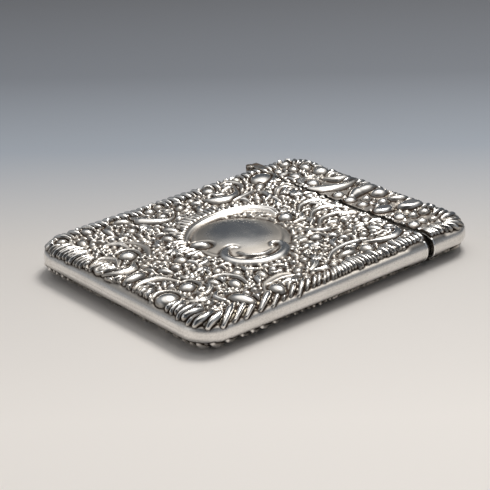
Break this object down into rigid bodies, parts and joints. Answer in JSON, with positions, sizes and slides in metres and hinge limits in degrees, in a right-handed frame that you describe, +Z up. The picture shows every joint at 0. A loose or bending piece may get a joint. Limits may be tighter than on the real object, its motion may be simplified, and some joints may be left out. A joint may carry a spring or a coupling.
{
  "type": "card case",
  "caption": "Flat rounded silver card case with embossed faces and an end cap lid that swings on a hinge at one side.",
  "frame": {"origin": "in the face that the case rests on, under the middle of the closed case, hinge left out", "axes": "+X along the case towards its lid, +Y across the case towards its hinge, +Z up through its thickness"},
  "size_m": [0.102, 0.0767, 0.01],
  "materials": {
    "embossed_silver": "polished silver, darkened in the recesses of the relief",
    "polished_silver": "polished silver with fine wear",
    "inner_silver": "tarnished silver, dull",
    "hinge_silver": "worn silver, dark in its gaps",
    "pin_metal": "dull worn metal"
  },
  "bodies": {
    "body": {"body_front_shell": "embossed_silver", "body_back_shell": "embossed_silver", "body_mouth_rim": "polished_silver", "body_collar": "inner_silver", "body_hinge_bearer": "hinge_silver", "body_hinge_knuckle": "hinge_silver"},
    "lid": {"lid_front_shell": "embossed_silver", "lid_back_shell": "embossed_silver", "lid_mouth_rim": "polished_silver", "lid_hinge_bearer_front": "hinge_silver", "lid_hinge_bearer_back": "hinge_silver", "lid_hinge_knuckle_front": "hinge_silver", "lid_hinge_knuckle_back": "hinge_silver", "hinge_pin": "pin_metal"}
  },
  "joints": [
    {"name": "lid_hinge", "type": "hinge", "parent": "body", "child": "lid", "pos_m": [0.0315, 0.0379, 0.005], "axis": [0, 0, 1], "range_deg": [-1.7, 98.3]}
  ]
}
